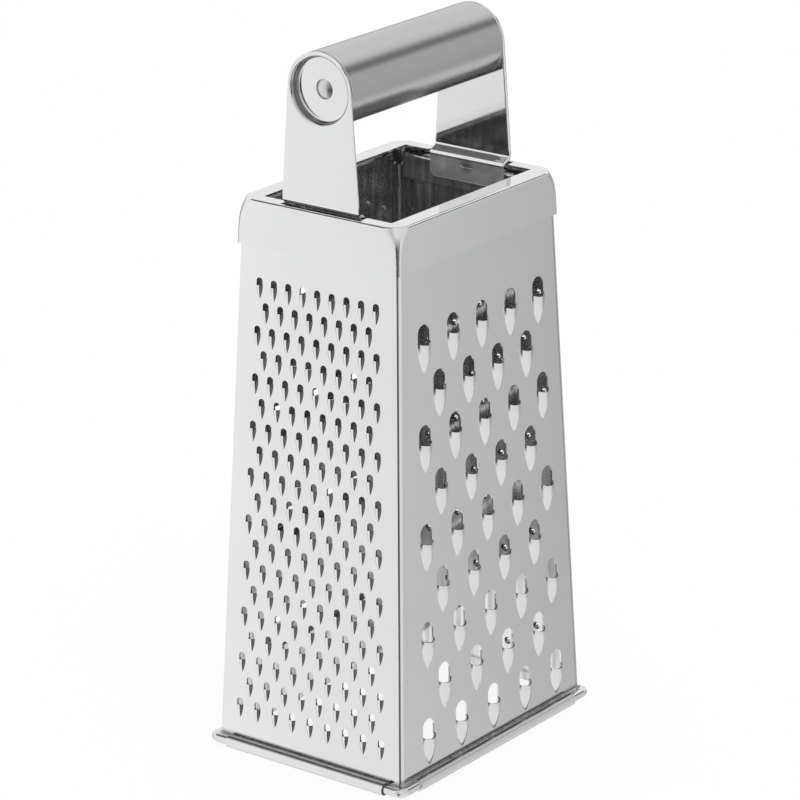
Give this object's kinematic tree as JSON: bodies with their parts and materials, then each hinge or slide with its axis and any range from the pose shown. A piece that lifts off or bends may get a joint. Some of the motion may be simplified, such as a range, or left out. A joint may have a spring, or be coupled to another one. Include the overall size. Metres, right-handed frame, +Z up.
{
  "type": "box grater",
  "caption": "Free-standing tapered box grater in polished stainless steel, with fine, coarse, slicing and rasp sides and a satin tube handle on brackets.",
  "frame": {"origin": "on the floor, under the middle of the body, which is the bottom centre of the bounding box", "axes": "+Z up, from the foot to the handle. +X along the wide sides and the handle tube. The coarse side faces -Y, the fine side -X, the slicing side +Y and the rasp side +X."},
  "size_m": [0.1086, 0.0824, 0.24],
  "materials": {
    "polished_sheet": "mirror-polished stainless steel sheet",
    "collar_sheet": "mirror-polished drawn stainless steel",
    "bracket_sheet": "polished stamped stainless steel",
    "foot_wire": "bright drawn stainless steel wire",
    "satin_tube": "satin, ground round the tube",
    "rod_steel": "plain, with domed riveted heads"
  },
  "bodies": {
    "root": {"fine_grating_panel": "polished_sheet", "coarse_grating_panel": "polished_sheet", "slicing_panel": "polished_sheet", "rasp_panel": "polished_sheet", "base_wire": "foot_wire", "top_collar": "collar_sheet", "front_handle_bracket": "bracket_sheet", "rear_handle_bracket": "bracket_sheet", "handle_tube": "satin_tube", "tie_rod": "rod_steel"}
  },
  "joints": []
}
